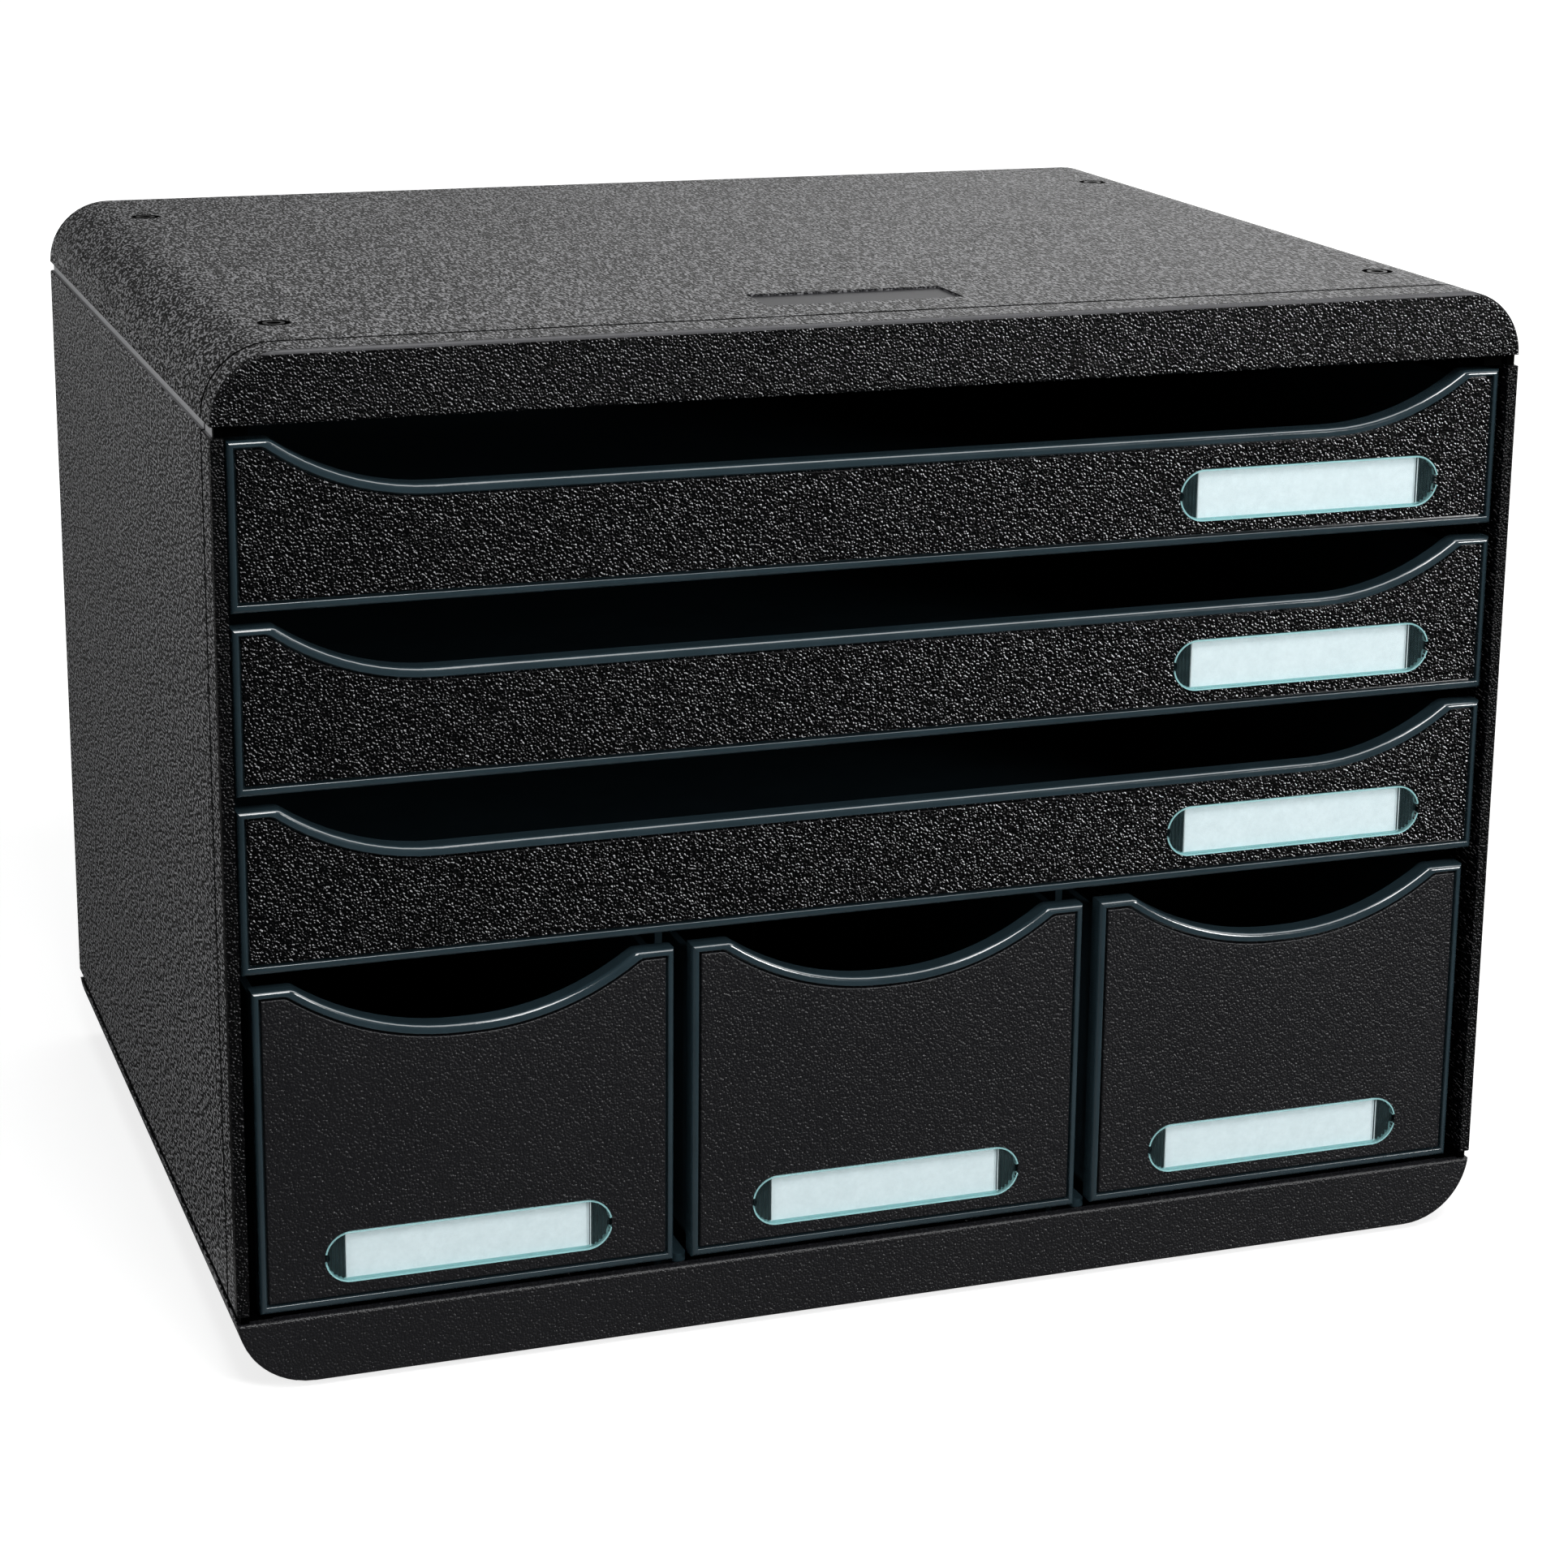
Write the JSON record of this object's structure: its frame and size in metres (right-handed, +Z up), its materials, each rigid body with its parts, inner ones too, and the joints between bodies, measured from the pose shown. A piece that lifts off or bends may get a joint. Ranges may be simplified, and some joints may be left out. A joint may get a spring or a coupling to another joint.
{
  "type": "desktop drawer unit",
  "caption": "Desktop storage unit of black grained plastic with wide flat drawers over deep small ones, scooped slate-blue fronts, clear label windows and stacking sockets.",
  "frame": {"origin": "middle of the footprint, on the surface it stands on", "axes": "X to the right along the front, drawers open towards -Y, Z up"},
  "size_m": [0.355, 0.27, 0.271],
  "materials": {
    "case_plastic": "pebble-grained black",
    "drawer_plastic": "smooth satin slate blue-grey",
    "front_plastic": "pebble-grained black",
    "window_plastic": "clear, with upright flutes at the ends",
    "card": "bare pale card",
    "foot_rubber": "matte"
  },
  "bodies": {
    "casing": {"base": "case_plastic", "top_cover": "case_plastic", "left_side_panel": "case_plastic", "right_side_panel": "case_plastic", "back_panel": "case_plastic", "back_ribs": "case_plastic", "divider_shelf": "case_plastic", "shelf_stops": "case_plastic", "left_divider": "drawer_plastic", "right_divider": "drawer_plastic", "floor_runners": "case_plastic", "left_runner_rails": "case_plastic", "right_runner_rails": "case_plastic", "left_side_stops": "case_plastic", "right_side_stops": "case_plastic", "front_left_foot": "foot_rubber", "front_right_foot": "foot_rubber", "rear_left_foot": "foot_rubber", "rear_right_foot": "foot_rubber"},
    "lower_drawer": {"lower_drawer_tray": "drawer_plastic", "lower_drawer_front_panel": "front_plastic", "lower_drawer_label_window": "window_plastic", "lower_drawer_label_card": "card"},
    "middle_drawer": {"middle_drawer_tray": "drawer_plastic", "middle_drawer_front_panel": "front_plastic", "middle_drawer_label_window": "window_plastic", "middle_drawer_label_card": "card"},
    "upper_drawer": {"upper_drawer_tray": "drawer_plastic", "upper_drawer_front_panel": "front_plastic", "upper_drawer_label_window": "window_plastic", "upper_drawer_label_card": "card"},
    "left_small_drawer": {"left_small_drawer_tray": "drawer_plastic", "left_small_drawer_front_panel": "front_plastic", "left_small_drawer_label_window": "window_plastic", "left_small_drawer_label_card": "card"},
    "centre_small_drawer": {"centre_small_drawer_tray": "drawer_plastic", "centre_small_drawer_front_panel": "front_plastic", "centre_small_drawer_label_window": "window_plastic", "centre_small_drawer_label_card": "card"},
    "right_small_drawer": {"right_small_drawer_tray": "drawer_plastic", "right_small_drawer_front_panel": "front_plastic", "right_small_drawer_label_window": "window_plastic", "right_small_drawer_label_card": "card"}
  },
  "joints": [
    {"name": "lower_drawer_slide", "type": "slide", "parent": "casing", "child": "lower_drawer", "axis": [0, -1, 0], "range_m": [0, 0.185]},
    {"name": "middle_drawer_slide", "type": "slide", "parent": "casing", "child": "middle_drawer", "axis": [0, -1, 0], "range_m": [0, 0.185]},
    {"name": "upper_drawer_slide", "type": "slide", "parent": "casing", "child": "upper_drawer", "axis": [0, -1, 0], "range_m": [0, 0.185]},
    {"name": "left_small_drawer_slide", "type": "slide", "parent": "casing", "child": "left_small_drawer", "axis": [0, -1, 0], "range_m": [0, 0.185]},
    {"name": "centre_small_drawer_slide", "type": "slide", "parent": "casing", "child": "centre_small_drawer", "axis": [0, -1, 0], "range_m": [0, 0.185]},
    {"name": "right_small_drawer_slide", "type": "slide", "parent": "casing", "child": "right_small_drawer", "axis": [0, -1, 0], "range_m": [0, 0.185]}
  ]
}
